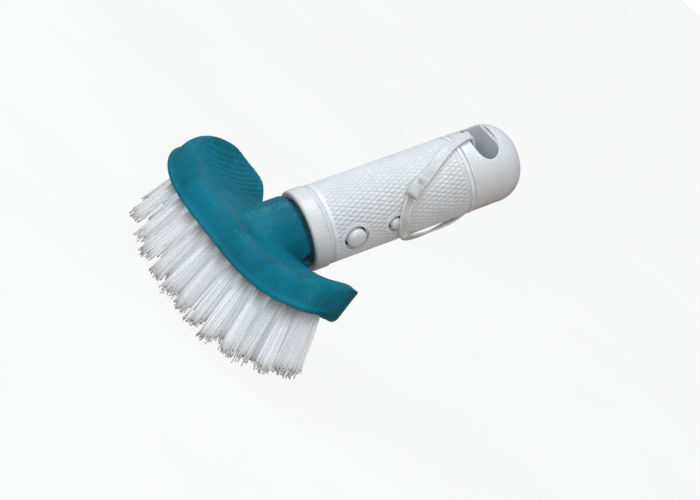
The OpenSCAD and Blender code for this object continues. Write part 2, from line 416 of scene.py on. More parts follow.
def milky_nylon():
    """Translucent nylon of the cable tie, cloudier where it was stretched."""
    s = Shader("milky_nylon")
    cloud = s.between(s.noise(160.0, 4.0), 0.35, 0.65)
    colour = s.blend(cloud, (0.80, 0.82, 0.82), (0.66, 0.67, 0.66))
    edge = s.between(s.add("NewGeometry").outputs["Pointiness"], 0.505, 0.56, 0.0, 0.5)
    colour = s.blend(edge, colour, (0.93, 0.94, 0.94))
    normal = s.bump(s.noise(700.0, 3.0), 0.00002, 0.3)
    gloss = s.between(cloud, 0.0, 1.0, 0.26, 0.38)
    return s.surface(Base_Color=colour, Roughness=gloss, Normal=normal, IOR=1.53,
                     Transmission_Weight=0.12, Subsurface_Weight=0.35,
                     Subsurface_Radius=(0.0015, 0.0015, 0.0014))


def spring_steel():
    s = Shader("spring_steel")
    where = s.add("TexCoord").outputs["Object"]
    stretched = s.add("Mapping", {"Vector": where, "Scale": (90.0, 1600.0, 1600.0)}).outputs[0]
    grain = s.add("TexNoise", {"Vector": stretched, "Scale": 1.0, "Detail": 4.0}).outputs["Fac"]
    stain = s.between(s.noise(120.0), 0.45, 0.7)
    colour = s.blend(stain, (0.62, 0.63, 0.64), (0.42, 0.40, 0.37))
    return s.surface(Base_Color=colour, Metallic=1.0, Roughness=s.between(grain, 0.3, 0.7, 0.2, 0.42),
                     Normal=s.bump(grain, 0.00003, 0.5))


TEAL = moulded_plastic("teal_moulding", light=(0.002, 0.185, 0.270), dark=(0.001, 0.132, 0.190),
                       worn=(0.035, 0.215, 0.275), shade_colour=(0.028, 0.070, 0.084),
                       roughness=0.48, coat=0.0, texture_bump=0.00003, shine=0.10, speckle=0.045)
WHITE = moulded_plastic("white_gloss_moulding", light=(0.78, 0.80, 0.82), dark=(0.73, 0.75, 0.77),
                        worn=(0.92, 0.93, 0.94), shade_colour=(0.46, 0.44, 0.42),
                        roughness=0.24, coat=0.35, texture_bump=0.00001)
WARM_WHITE = moulded_plastic("warm_white_moulding", light=(0.78, 0.79, 0.79), dark=(0.73, 0.73, 0.72),
                             worn=(0.92, 0.92, 0.91), shade_colour=(0.42, 0.38, 0.34),
                             roughness=0.30, coat=0.25, texture_bump=0.00001)
GRIP_WHITE = moulded_plastic("white_grip_moulding", light=(0.78, 0.80, 0.82), dark=(0.72, 0.74, 0.76),
                             worn=(0.93, 0.94, 0.95), shade_colour=(0.48, 0.47, 0.47),
                             roughness=0.34, coat=0.15, texture_bump=0.00002)
BRISTLE = bristle_nylon()
NYLON = milky_nylon()
STEEL = spring_steel()


# ---------------------------------------------------------------- head

OUTLINE_POWER = 3.05
# Rim: its ends rise, curl up and are cut back towards the far side.
END_RISE = 9.6
END_CURL = 6.3
END_SKEW = 0.11
WAIST = 0.28
# Back: above the side wall, pinched in beside the handle.
BAND_H = 12.4
TIP_LIFT = 12.2
BACK_HALF_L = HALF_L - 8.1
BACK_SHIFT = -4.0
BACK_SKEW = 0.025
BACK_NEAR_W = HALF_W + 1.2
BACK_FAR_W = HALF_W - 5.3
NEAR_PINCH = 6.0
FAR_PINCH = 14.5
PINCH_L = 32.5
# Wings: the back's raised places, higher on the far side than at the near edge.
LOBE_LIFT = 5.6
EDGE_LIFT = 1.9
LOBE_X = 22.0
LOBE_Y = 0.66 * HALF_L
LOBE_SPREAD = 15.0
# X that the rings of the back and the underside close in on.
SKIN_X = 4.0
# Side wall from the rim to the back: share of the way in, share of the height.
WALL = [(0.02, 0), (0, 0.04), (0.045, 0.12), (0.16, 0.19), (0.23, 0.31), (0.29, 0.46),
        (0.39, 0.64), (0.55, 0.81), (0.78, 0.94), (1, 1)]
COLLAR_GAP = 2.2
collar_r = grip_r - 0.5
collar_end = ring_start - COLLAR_GAP
FILLET = 2.6
HEAD_VOXEL = 0.38
# Grip ribs on the wings, placed along the head.
RIB_PITCH = 3.0
RIB_DEPTH = 0.55
OUTER_GROOVE = 58.4
RIBS_END = 60.4
# Mould seam on both ends: its place, slope, width and depth.
SEAM_X, SEAM_Z = 8.5, 9.5
SEAM_SLOPE = 0.42
SEAM_TOP = 21
SEAM_HALF_W = 0.24
SEAM_DEPTH = 0.16
END_FROM = 60


def signed_power(v, e):
    return np.sign(v) * np.abs(v) ** e


def pinch(y):
    return np.exp(-(y / PINCH_L) ** 4)


def draw_in(x, y):
    return np.where(x < 0, x * (1 - WAIST * pinch(y)), x)


def bend(y):
    return END_RISE * (y / HALF_L) ** 4


def back_z(x, y):
    lift = np.where(x < 0, LOBE_LIFT, EDGE_LIFT)
    return (BAND_H + TIP_LIFT * (np.abs(y) / BACK_HALF_L) ** 4.8
            + lift * (x / LOBE_X) ** 2 * np.exp(-((np.abs(y) - LOBE_Y) / LOBE_SPREAD) ** 2))


def far_share(x):
    """0 on the near side of the rim's ends and 1 on their far side."""
    return smooth_step(12, -14, x)


def rim_z(x, y):
    """Height of the rim, which curls up at the far side of each end."""
    return bend(y) + END_CURL * far_share(x) * smooth_step(48, 66, np.abs(y))


def rim_outline(u):
    """The rim's outline; each end is cut back towards the far side."""
    y = HALF_L * signed_power(np.sin(u), 2 / OUTLINE_POWER)
    x = HALF_W * signed_power(np.cos(u), 2 / OUTLINE_POWER)
    return np.stack([draw_in(x, y), y * (1 - END_SKEW * far_share(x))], -1)


def back_outline(u):
    y = BACK_HALF_L * signed_power(np.sin(u), 2 / OUTLINE_POWER)
    c = signed_power(np.cos(u), 2 / OUTLINE_POWER)
    w = np.where(c < 0, BACK_FAR_W, BACK_NEAR_W)
    p = np.where(c < 0, FAR_PINCH, NEAR_PINCH)
    x = BACK_SHIFT + (w - p * pinch(y)) * c
    return np.stack([x, y * (1 - BACK_SKEW * smooth_step(-4, 16, x))], -1)


def with_z(xy, z):
    return np.concatenate([xy, z[:, None]], 1)


def shrunk(xy, share):
    return np.stack([SKIN_X + share * (xy[:, 0] - SKIN_X), share * xy[:, 1]], -1)


def head_plate():
    u = full_turn(720)
    rim, back = rim_outline(u), back_outline(u)
    rings = []
    foot = mix(rim, back, WALL[0][0])
    for share in np.linspace(0.06, 0.98, 14):
        q = shrunk(foot, share)
        rings.append(with_z(q, rim_z(q[:, 0], q[:, 1])))
    low, high = rim_z(rim[:, 0], rim[:, 1]), back_z(back[:, 0], back[:, 1])
    for inward, height in curve_through(WALL, 64):
        rings.append(with_z(mix(rim, back, inward), mix(low, high, height)))
    for share in np.linspace(0.985, 0.03, 60):
        q = shrunk(back, share)
        rings.append(with_z(q, back_z(q[:, 0], q[:, 1])))
    return skin(rings)


def collar():
    """Leaning collar on the back, notched at both mould seams."""
    notch_at, notch_half, notch_deep = math.radians(97), math.radians(9), 4.6
    angles = full_turn(480)
    from_notch = np.abs(from_front(angles) - notch_at)
    drop = notch_deep * np.clip(1 - from_notch / notch_half, 0, 1) ** 0.8
    base = -2.0
    lip = collar_r - 0.28
    # Radius, station, and whether the ring follows the notch.
    profile = [(collar_r - 7, base, 0), (collar_r - 0.5, base, 0), (collar_r, base + 0.5, 0),
               (collar_r, collar_end - 6, 0), (collar_r, collar_end - 1.1, 1),
               (lip, collar_end - 1.0, 1), (lip, collar_end - 0.35, 1),
               (collar_r - 0.6, collar_end, 1), (spigot_r + 0.4, collar_end, 1),
               (spigot_r - 2, collar_end - 0.2, 1)]
    rings = [round_z(angles, radius, station - follow * drop) for radius, station, follow in profile]
    return on_handle(skin(rings))


def above_floor_of_head(shape, low=3.0):
    """Lifts the points that would come out below the rim up into the head."""
    points, faces = shape
    points = points.copy()
    points[:, 2] = np.maximum(points[:, 2], low)
    return points, faces


def collar_fillet():
    """Soft fillet where the collar's near side meets the back. Halving finds that line."""
    half_turn = math.radians(96)
    rings = []
    for turn in np.linspace(-half_turn, half_turn, 160):
        normal = OUT * math.cos(turn) + ACROSS * math.sin(turn)
        low, high = -30.0, 40.0
        for _ in range(40):
            s = (low + high) / 2
            p = normal * collar_r + ALONG * s
            if p[2] > back_z(p[0], p[1]):
                high = s
            else:
                low = s
        fading = float(smooth_step(half_turn, half_turn * 0.55, abs(turn)))
        size = FILLET * fading + 0.05
        outward = normal * [1, 1, 0]
        outward /= np.linalg.norm(outward)
        foot = p + outward * size
        foot[2] = back_z(foot[0], foot[1])
        top = p + ALONG * size
        share = np.linspace(0, 1, 10)
        ring = [(1 - t) ** 2 * top + 2 * t * (1 - t) * p + t * t * foot for t in share]
        inner = p - normal * 1.2 - np.array([0, 0, 1.2])
        rings.append(ring + [foot - [0, 0, 0.8], inner, top - normal * 0.8])
    return skin(rings)


def rib_groove(x, y, near, far):
    """Depth share of the grip ribs on the wings, fading before the outline and beside the collar."""
    along = np.abs(y)
    groove = (0.5 + 0.5 * np.cos(2 * math.pi * (along - OUTER_GROOVE) / RIB_PITCH)) ** 2.5
    margin = mix(1.6, 6.4, smooth_step(28, 46, along))
    near_end = smooth_step(0, 1.6, near - x - margin)
    far_end = smooth_step(0.6, 2.6, x - far)
    start = 0.3 + 0.7 * smooth_step(-1, 4, along - (42.5 - 0.44 * (10 - x)))
    stop = smooth_step(RIBS_END, RIBS_END - 1.0, along)
    return groove * near_end * far_end * start * stop


def back_edges(y):
    """Near and far X of the back's outline at a place along the head."""
    share = np.clip(np.abs(y) / BACK_HALF_L, 0, 1)
    c = (1 - share ** OUTLINE_POWER) ** (1 / OUTLINE_POWER)
    near = BACK_SHIFT + (BACK_NEAR_W - NEAR_PINCH * pinch(y)) * c
    far = BACK_SHIFT - (BACK_FAR_W - FAR_PINCH * pinch(y)) * c
    return near, far


def spigot():
    """Hollow spigot behind the collar, drilled for the buttons and pins."""
    start = collar_end - 1.5
    profile = [(spigot_r, start), (spigot_r, spigot_end - 0.8), (spigot_r - 0.8, spigot_end),
               (spigot_bore_r + 0.4, spigot_end), (spigot_bore_r, spigot_end - 0.4), (spigot_bore_r, start)]
    tube = new_object("spigot", on_handle(turned(profile, 192, loop=True)))
    for side in (-1, 1):
        for s, r in ((button_s, button_r + 0.6), (pin_s, pin_r + 0.4)):
            cut(tube, on_side(turned([(r, 5), (r, spigot_r + 2)], 64), side, s))
    return tube


def remeshed(obj):
    """Melts the object's closed shells into one smooth skin."""
    remesh = obj.modifiers.new("remesh", "REMESH")
    remesh.mode = "VOXEL"
    remesh.voxel_size = HEAD_VOXEL * MM
    remesh.use_smooth_shade = True
    smooth = obj.modifiers.new("smooth", "SMOOTH")
    smooth.factor = 0.5
    smooth.iterations = 5
    return bake(obj)


def trued_collar(p):
    """Points of the head, with those on the collar moved onto its cylinder."""
    handle_r = np.hypot(p @ OUT, p @ ACROSS)
    station = p @ ALONG
    radial = (p - station[:, None] * ALONG) / handle_r[:, None]
    on_collar = smooth_step(0.5, 0.25, np.abs(handle_r - collar_r))
    on_collar = on_collar * smooth_step(-1.3, -1.8, station - collar_end)
    above_back = p[:, 2] - back_z(p[:, 0], p[:, 1])
    on_collar = on_collar * smooth_step(FILLET + 0.6, FILLET + 2.0, above_back)
    return p + radial * (on_collar * (collar_r - handle_r))[:, None]


def mould_seam(p):
    """Share of the mould seam at each point, a fine slanting line on both ends."""
    seam_x = SEAM_X - SEAM_SLOPE * (p[:, 2] - SEAM_Z)
    line = np.exp(-((p[:, 0] - seam_x) / SEAM_HALF_W) ** 2)
    return line * (np.abs(p[:, 1]) > END_FROM) * smooth_step(SEAM_TOP, SEAM_TOP - 1.5, p[:, 2])


def from_crease(p):
    """Distance from the crease between the side wall and the back."""
    edge = back_outline(full_turn(1440))
    crease = with_z(edge, back_z(edge[:, 0], edge[:, 1]))
    tree = kdtree.KDTree(len(crease))
    for i, q in enumerate(crease):
        tree.insert(q, i)
    tree.balance()
    return np.array([tree.find(q)[2] for q in p])


def make_head():
    shape = joined(head_plate(), above_floor_of_head(collar()), collar_fillet())
    head = remeshed(new_object("head", shape))

    p = points_of(head)
    near, far = back_edges(p[:, 1])
    on_back = smooth_step(1.4, 0.7, np.abs(p[:, 2] - back_z(p[:, 0], p[:, 1])))
    handle_r = np.hypot(p @ OUT, p @ ACROSS)
    station = p @ ALONG
    p = trued_collar(p)
    clear_of_collar = smooth_step(collar_r + 1.0, collar_r + 3.0, handle_r)
    groove = rib_groove(p[:, 0], p[:, 1], near, far) * on_back * clear_of_collar
    p[:, 2] -= RIB_DEPTH * groove
    seam = mould_seam(p)
    p[:, 1] += SEAM_DEPTH * np.sign(p[:, 1]) * seam
    set_points(head, p)
    set_value(head, "scuff", 0.55 * seam)

    # Painted shade: a dark line where the collar ends, dark inside the gap before the ring, and darker
    # along the crease and in the rib grooves.
    by_collar_end = np.exp(-((station - collar_end + 1.0) / 0.35) ** 2) * (handle_r < collar_r + 0.3)
    in_gap = smooth_step(collar_r - 0.9, collar_r - 1.6, handle_r)
    in_gap = in_gap * smooth_step(collar_end - 6, collar_end - 4, station)
    painted_shade = 0.28 * np.exp(-(from_crease(p) / 1.6) ** 2) + 0.15 * groove
    painted_shade = painted_shade + 0.8 * by_collar_end + in_gap
    set_value(head, "painted_shade", np.clip(painted_shade, 0, 1))

    tube = spigot()
    # Painted shade: the spigot is darkened all over, as it sits in shade inside the collar and the grip.
    set_value(tube, "painted_shade", np.full(len(tube.data.vertices), 1.0))
    set_value(tube, "scuff", np.zeros(len(tube.data.vertices)))
    bm = bmesh.new()
    bm.from_mesh(head.data)
    bm.from_mesh(tube.data)
    bm.to_mesh(head.data)
    bm.free()
    bpy.data.objects.remove(tube)
    head.data.shade_smooth()
    return place(head, "brush", TEAL, "teal_plastic", "head_body")


# ---------------------------------------------------------------- bristles

FILAMENTS = 46
FILAMENT_R = 0.29
FILAMENT_SIDES = 5
FILAMENT_RINGS = 6
IN_HEAD = 4.5
LEFT_CUT = 0.25
RIGHT_CUT = 0.09
ROOT_SPREAD = 0.45
TIP_SPREAD = 0.78
STRAY_SHARE = 0.035
GOLDEN_TURN = math.pi * (3 - math.sqrt(5))


def tufts_of(node):
    """Root centre, tip centre and tip radius of each tuft of a CAD row, drawn in where the rim is."""
    bm = bmesh.new()
    bm.from_mesh(frame["nodes"][node].data)
    bmesh.ops.remove_doubles(bm, verts=bm.verts, dist=1e-6)
    found, seen = [], set()
    for start in bm.verts:
        if start.index in seen:
            continue
        island, queue = [], [start]
        seen.add(start.index)
        while queue:
            v = queue.pop()
            island.append(v.co[:])
            for edge in v.link_edges:
                other = edge.other_vert(v)
                if other.index not in seen:
                    seen.add(other.index)
                    queue.append(other)
        points = np.array(island) / MM
        centre = points.mean(0)
        direction = np.linalg.svd(points - centre)[2][0]
        direction *= -np.sign(direction[2])
        depth = (points - centre) @ direction
        end_depth = 0.3
        root = points[depth < depth.min() + end_depth].mean(0)
        tip_ring = points[depth > depth.max() - end_depth]
        tip = tip_ring.mean(0)
        tip_r = np.linalg.norm(tip_ring - tip, axis=1).max()
        inward = np.array([0, -root[1] * END_SKEW * far_share(root[0]), 0])
        found.append((root + inward, tip + inward, tip_r))
    bm.free()
    return sorted(found, key=lambda t: t[0][1])


def length_share(y):
    """Bristles are cut shorter towards the ends of the head, most at the left."""
    left, right = smooth_step(-8, -56, y), smooth_step(25, 56, y)
    return 1.0 - LEFT_CUT * float(left) - RIGHT_CUT * float(right)


def directions(root, tip):
    """Unit vectors along a line and in two directions square to it."""
    axis = (tip - root) / np.linalg.norm(tip - root)
    side = np.cross(axis, [0.0, 1.0, 0.0])
    side /= np.linalg.norm(side)
    return axis, side, np.cross(axis, side)


def filament(root, tip, bow, radius):
    """Rings of one slightly bowed filament."""
    t = np.linspace(0, 1, FILAMENT_RINGS)[:, None]
    centres = mix(root, tip, t) + bow * (4 * t * (1 - t)) * 0.5
    _, side, other = directions(root, tip)
    a = full_turn(FILAMENT_SIDES)
    section = np.cos(a)[:, None] * side + np.sin(a)[:, None] * other
    taper = mix(1.0, 0.86, t)
    return centres[:, None, :] + section[None] * (radius * taper)[:, None]


def make_bristles(name, node, seed):
    """Filaments of one row, fanned out from each tuft's hole."""
    rng = np.random.default_rng(seed)
    shapes, along, tone = [], [], []
    for root, tip, tip_r in tufts_of(node):
        axis, side, other = directions(root, tip)
        tuft_lean = side * rng.normal(0, 0.7) + other * rng.normal(0, 1.0)
        share = length_share(root[1]) * (1 + rng.normal(0, 0.012))
        start = root + axis * IN_HEAD
        for k in range(FILAMENTS):
            spread = math.sqrt((k + 0.5) / FILAMENTS)
            turn = k * GOLDEN_TURN + rng.uniform(0, 0.3)
            toward = side * math.cos(turn) + other * math.sin(turn)
            bottom = start + toward * tip_r * ROOT_SPREAD * spread
            end = start + axis * (np.linalg.norm(tip - start) * share + rng.normal(-1.6, 1.2))
            end = end + toward * tip_r * TIP_SPREAD * spread + tuft_lean * share
            end = end + side * rng.normal(0, 0.35) + other * rng.normal(0, 0.45)
            if rng.random() < STRAY_SHARE:
                end = end + side * rng.normal(0, 1.6) + other * rng.normal(0, 2.4)
            bow = side * rng.normal(0, 0.3) + other * rng.normal(0, 0.3) + toward * 0.6
            rings = filament(bottom, end, bow, FILAMENT_R * rng.uniform(0.9, 1.1))
            shapes.append(skin(rings))
            steps = np.repeat(np.linspace(0, 1, FILAMENT_RINGS), FILAMENT_SIDES)
            along += [*steps, 0.0, 1.0]
            tone += [rng.random()] * (len(steps) + 2)
    points, faces = joined(*shapes)
    mesh = bpy.data.meshes.new(name)
    mesh.from_pydata((points * MM).tolist(), [], faces)
    mesh.shade_smooth()
    obj = bpy.data.objects.new(name, mesh)
    bpy.context.scene.collection.objects.link(obj)
    set_value(obj, "along", along)
    set_value(obj, "tone", tone)
    return place(obj, "brush", BRISTLE, "bristle", node)


# ---------------------------------------------------------------- handle

DIAMONDS_ROUND = 52
DIAMOND_L = 5.1
DIAMOND_DEPTH = 0.42
HOLE_RING = 1.3
BUTTON_GAP = 1.05
STUD_SLACK = 0.25


def grip_radius(s, w):
    """Outside radius of the grip at station s and distance w round it."""
    diamond_w = 2 * math.pi * grip_r / DIAMONDS_ROUND
    first = np.abs(((s / DIAMOND_L + w / diamond_w) % 1) - 0.5) * 2
    second = np.abs(((s / DIAMOND_L - w / diamond_w) % 1) - 0.5) * 2
    valley = np.maximum(first, second) ** 3
    start, end = grip_start + 3.5, grip_end - 3.1
    patterned = smooth_step(start, start + 0.5, s) * smooth_step(end, end - 0.5, s)
    for centre, radius in ((button_s, button_r), (pin_s, pin_r)):
        for side in (-1, 1):
            quarter = side * math.pi * grip_r / 2
            distance = np.hypot(s - centre, w - quarter)
            edge = radius + BUTTON_GAP + HOLE_RING
            patterned = patterned * smooth_step(edge, edge + 0.6, distance)
    depth = DIAMOND_DEPTH * valley * patterned
    for groove, width, deep in ((grip_start + 1.55, 0.28, 0.45), (end + 0.75, 0.3, 0.55)):
        depth = depth + deep * np.exp(-((s - groove) / width) ** 2)
    for edge in (grip_start, grip_end):
        depth = depth + 0.45 * smooth_step(0.6, 0.0, np.abs(s - edge))
    return grip_r - depth


def rounded_hole(radius):
    """Cutter for a hole in the grip, with a rounded edge."""
    lip = grip_r - 0.55
    profile = [(radius, core_r - 3), (radius, lip)]
    for t in np.linspace(0.1, 1.57, 6):
        profile.append((radius + 0.45 * (1 - math.cos(t)), lip + 0.5 * math.sin(t)))
    profile.append((radius + 0.5, grip_r + 2))
    return turned(profile, 96)


def make_grip():
    columns, rows = 520, 300
    angles = 2 * math.pi * (np.arange(columns) + 0.5) / columns - math.pi
    w = angles * grip_r
    rings = []
    for s in np.linspace(grip_start, grip_end, rows):
        r = grip_radius(s, w)
        rings.append(round_z(angles, r, s))
    for s in (grip_end, grip_start):
        rings.append(round_z(angles, core_r + 0.02, s))
    grip = new_object("grip", on_handle(skin(rings, loop=True)))
    for side in (-1, 1):
        for s, r in ((button_s, button_r), (pin_s, pin_r)):
            cut(grip, on_side(rounded_hole(r + BUTTON_GAP), side, s))
    # Painted shade: darker down the walls of the button and pin holes.
    p = points_of(grip)
    depth = grip_r - np.hypot(p @ OUT, p @ ACROSS)
    set_value(grip, "painted_shade", smooth_step(0.9, 1.3, depth))
    sharp_shade(grip, 50)
    return place(grip, "brush", GRIP_WHITE, "white_grip", "grip_sleeve")


def make_front_ring():
    """Smooth ring in front of the grip, with a seam line on both sides."""
    lip_r = spigot_r + 0.9
    inner = core_r + 0.02
    round_front, round_back = 1.3, 0.5

    def with_seam(radius, height, angles):
        from_seam = np.abs(from_front(angles) - math.pi / 2) * ring_r
        shallow = 0.22 * np.exp(-(from_seam / 0.16) ** 2)
        return radius - (shallow if radius > inner + 0.5 else 0)

    profile = [(inner, ring_start + 2), (lip_r, ring_start + 1), (lip_r, ring_start + 0.25)]
    profile += [(lip_r + 0.25, ring_start)]
    profile += arc((ring_r - round_front, ring_start + round_front), round_front, -90, 0, 9)
    profile += arc((ring_r - round_back, ring_end - round_back), round_back, 0, 90, 6)
    profile += [(inner, ring_end)]
    ring = new_object("front_ring", on_handle(turned(profile, 1440, loop=True, radius_at=with_seam)))
    set_value(ring, "painted_shade", np.zeros(len(ring.data.vertices)))
    sharp_shade(ring, 50)
    return place(ring, "brush", WARM_WHITE, "warm_white", "front_collar")


DOME_R = 13.5
SLOT_L = 26.0


def cap_radius(s):
    """Outside radius of the cap at a station."""
    into_dome = np.clip(s - (tip_end - DOME_R), 0, DOME_R)
    return cap_r - DOME_R + np.sqrt(DOME_R ** 2 - into_dome ** 2)


def hang_slot():
    """Cutter for the hang slot, flared where it leaves the cap so that its edge is round."""
    half_l = SLOT_L / 2
    flare = 1.0
    turn = full_turn(120)
    straight = half_l - slot_half_w
    y = slot_half_w * np.cos(turn) + np.where(np.cos(turn) >= 0, straight, -straight)
    s = slot_s + slot_half_w * np.sin(turn)
    normal = np.stack([np.cos(turn), np.sin(turn)], 1)
    surface = np.sqrt(np.maximum(cap_radius(s) ** 2 - y ** 2, 1.0))
    outside = []
    for t in np.linspace(0, 1, 9):
        lean = flare * (1 - math.cos(t * math.pi / 2))
        height = surface - flare + flare * math.sin(t * math.pi / 2)
        outside.append(np.stack([height, y + normal[:, 0] * lean, s + normal[:, 1] * lean], 1))
    beyond = outside[-1].copy()
    beyond[:, 0] = grip_r + 6
    outside.append(beyond)
    mirrored = [ring * [-1, 1, 1] for ring in reversed(outside)]
    return on_handle(skin(mirrored + outside))


def make_cap():
    edge = 0.5
    profile = [(0.3, tip_end), (cap_r - DOME_R, tip_end)]
    profile += arc((cap_r - DOME_R, tip_end - DOME_R), DOME_R, 88, 0, 26)
    profile += [(cap_r, s) for s in np.linspace(tip_end - DOME_R - 1, cap_start + edge, 10)]
    profile += [(cap_r - 0.15, cap_start + 0.15), (cap_r - edge, cap_start), (spigot_r, cap_start)]
    profile += [(spigot_r, plug_start + 0.5), (spigot_r - 0.5, plug_start), (spigot_bore_r, plug_start)]
    profile += [(spigot_bore_r, cap_start + 3), (0.3, cap_start + 3)]
    cap = new_object("cap", on_handle(turned(profile, 256)))
    cut(cap, hang_slot())
    # Painted shade: darker deep inside the hang slot.
    p = points_of(cap)
    depth = cap_r - np.hypot(p @ OUT, p @ ACROSS)
    in_slot = (np.abs(p @ ALONG - slot_s) < slot_half_w + 0.5) * (np.abs(p[:, 1]) < SLOT_L / 2 + 0.5)
    set_value(cap, "painted_shade", 0.25 * in_slot * smooth_step(3, 12, depth))
    sharp_shade(cap, 20)
    return place(cap, "brush", WHITE, "white_gloss", "end_cap")


def make_stud(name, side, s, radius, top, body, node):
    """Domed button or pin with a blind hole for its rivet."""
    radius -= STUD_SLACK
    dome = 0.5 * radius
    rivet_hole, rivet_deep = 1.03, 3.0
    across = np.linspace(0.04, 1, 22)
    profile = [(radius * t, top - dome * (1 - math.sqrt(max(0.0, 1 - t ** 2.1)))) for t in across]
    profile += [(radius, stud_base + 0.4), (radius - 0.4, stud_base), (rivet_hole, stud_base)]
    profile += [(rivet_hole, stud_base + rivet_deep), (0.1, stud_base + rivet_deep)]
    obj = new_object(name, on_side(turned(profile, 96), side, s))
    set_value(obj, "painted_shade", np.zeros(len(obj.data.vertices)))
    sharp_shade(obj, 50)
    return place(obj, body, WHITE, "white_gloss", node)


# ---------------------------------------------------------------- cable tie

TIE_W = 4.7
TIE_T = 1.1
TIE_FIT = 0.5
# Loop from the slot round the handle and back: angle, distance from the slot, stand-off.
TIE = [(0, -2.6, -17), (0, -3.4, -8), (0, -3.9, -1.6), (1, -6.2, 0.1), (5, -12.4, -0.1),
       (13, -18.5, 0), (23, -24.5, 0), (34, -30.7, 0), (43, -36.0, 0.1), (51, -41.8, 0.2),
       (62, -45.2, 0.2), (76, -48.6, 0.5), (92, -50.2, 0.9), (107, -50.0, 0.9), (119, -47.6, 0.9),
       (129, -42, 0.9), (137, -35, 0.8), (146, -28, 0.7), (156, -21, 0.6), (167, -14, 0.5),
       (175, -9.5, 0.3), (179, -6.2, 0.1), (180, -3.9, -1.6), (180, -3.4, -8), (180, -2.6, -17)]
TIE_SAMPLES = 860
TOOTH_STEPS = 4
TOOTH_DEPTH = 0.34
# Station numbers of the tie's head, the end of its teeth and the edge of the slot.
HEAD_AT = 9
TEETH_END = 13.5
IN_SLOT = 3
TO_TIP = np.array([0.0, 0.0, 1.0])


def tie_path():
    """Evenly spaced centres, outward directions and station numbers of the loop."""
    station = np.linspace(0, len(TIE) - 1, 4000)
    path = curve_through(TIE, 4000)
    angle = np.radians(path[:, 0])
    centres = round_z(angle, grip_r + TIE_FIT + TIE_T / 2 + path[:, 2], slot_s + path[:, 1])
    steps = np.linalg.norm(np.diff(centres, axis=0), axis=1)
    travelled = np.concatenate([[0], np.cumsum(steps)])
    even = np.linspace(0, travelled[-1], TIE_SAMPLES)
    centres = np.stack([np.interp(even, travelled, centres[:, k]) for k in range(3)], 1)
    angle = np.interp(even, travelled, angle)
    station = np.interp(even, travelled, station)
    from_end = np.minimum(station, len(TIE) - 1 - station)
    facing_tip = smooth_step(IN_SLOT + 0.6, IN_SLOT - 0.8, from_end)[:, None]
    outward = mix(round_z(angle, 1.0, 0.0), TO_TIP, facing_tip)
    outward /= np.linalg.norm(outward, axis=1)[:, None]
    return centres, outward, station


def tie_sections(centres, outward, height_at):
    """Rounded flat strap round a path. height_at gives the top of its middle band at each sample."""
    tangent = np.gradient(centres, axis=0)
    tangent /= np.linalg.norm(tangent, axis=1)[:, None]
    side = np.cross(tangent, outward)
    side /= np.linalg.norm(side, axis=1)[:, None]
    up = np.cross(side, tangent)
    rings = []
    for i, centre in enumerate(centres):
        top = height_at(i)
        outline = [(-1, 0.25), (-0.9, 0.5), (-0.62, 0.5), (-0.56, top), (0.56, top), (0.62, 0.5),
                   (0.9, 0.5), (1, 0.25), (1, -0.25), (0.9, -0.5), (-0.9, -0.5), (-1, -0.25)]
        rings.append([centre + side[i] * a * TIE_W / 2 + up[i] * b * TIE_T for a, b in outline])
    return rings


def rounded_block(centre, axes, sizes, power=5.0, count=40):
    """Superellipsoid block, for soft-edged moulded parts."""
    u = np.linspace(-math.pi / 2, math.pi / 2, count)[1:-1]
    v = full_turn(count)
    e = 2 / power
    rings = []
    for a in u:
        flat = signed_power(np.cos(a), e)
        x = flat * signed_power(np.cos(v), e) * sizes[0] / 2
        y = flat * signed_power(np.sin(v), e) * sizes[1] / 2
        z = np.full(count, signed_power(np.sin(a), e) * sizes[2] / 2)
        rings.append(centre + x[:, None] * axes[0] + y[:, None] * axes[1] + z[:, None] * axes[2])
    return skin(rings)


def saw_tooth(i):
    """Top of the strap's middle band in a row of saw teeth."""
    return 0.5 - TOOTH_DEPTH * ((i % TOOTH_STEPS) / (TOOTH_STEPS - 1))


def make_tie():
    """Toothed loop, the tie's head with its lip, the cut-off end and the span in the slot."""
    centres, outward, station = tie_path()

    def strap_top(i):
        toothed = HEAD_AT - 0.3 < station[i] < TEETH_END
        return saw_tooth(i) if toothed else 0.5

    strap = skin(tie_sections(centres, outward, strap_top))
    at = int(np.argmin(np.abs(station - HEAD_AT)))
    forward = centres[at + 4] - centres[at - 4]
    forward /= np.linalg.norm(forward)
    out = outward[at]
    side = np.cross(forward, out)
    out = np.cross(side, forward)
    axes = (forward, side, out)
    head_size, lip_size = (6.9, 6.4, 4.6), (4.6, 3.6, 1.6)
    head = rounded_block(centres[at] + out * 1.2, axes, head_size)
    lip = rounded_block(centres[at] + out * 3.0 + forward * 0.4, axes, lip_size)
    away = np.linspace(0, 5.6, 36)
    stub_path = np.array([centres[at] + out * 1.7 - forward * t + out * 0.04 * t * t for t in away])
    stub_out = np.tile(out, (len(away), 1))
    stub = skin(tie_sections(stub_path, stub_out, saw_tooth))

    across_axis = np.linspace(-1, 1, 60) * 3.0
    through = np.array([[t, 0.0, slot_s - 2.6] for t in across_axis])
    bar_out = np.tile(TO_TIP, (len(across_axis), 1))
    bar = skin(tie_sections(through, bar_out, lambda i: 0.5))
    tie = new_object("tie", on_handle(joined(strap, head, lip, stub, bar)))
    sharp_shade(tie, 40)
    return place(tie, "brush", NYLON, "clear_nylon", "cable_tie")


# ---------------------------------------------------------------- build

def make_pieces():
    make_head()
    rows = ["front", "mid_front", "centre", "mid_rear", "rear"]
    for i, row in enumerate(rows):
        make_bristles("bristles_" + row, "tufts_" + row, SEED + i)
    make_grip()
    make_front_ring()
    make_cap()
    for word, side in (("left", -1), ("right", 1)):
        body = "press_" + word
        make_stud("button_" + word, side, button_s, button_r, button_top, body, "press_button_" + word)
        make_stud("pin_" + word, side, pin_s, pin_r, pin_top, body, "lock_pin_" + word)
    make_tie()


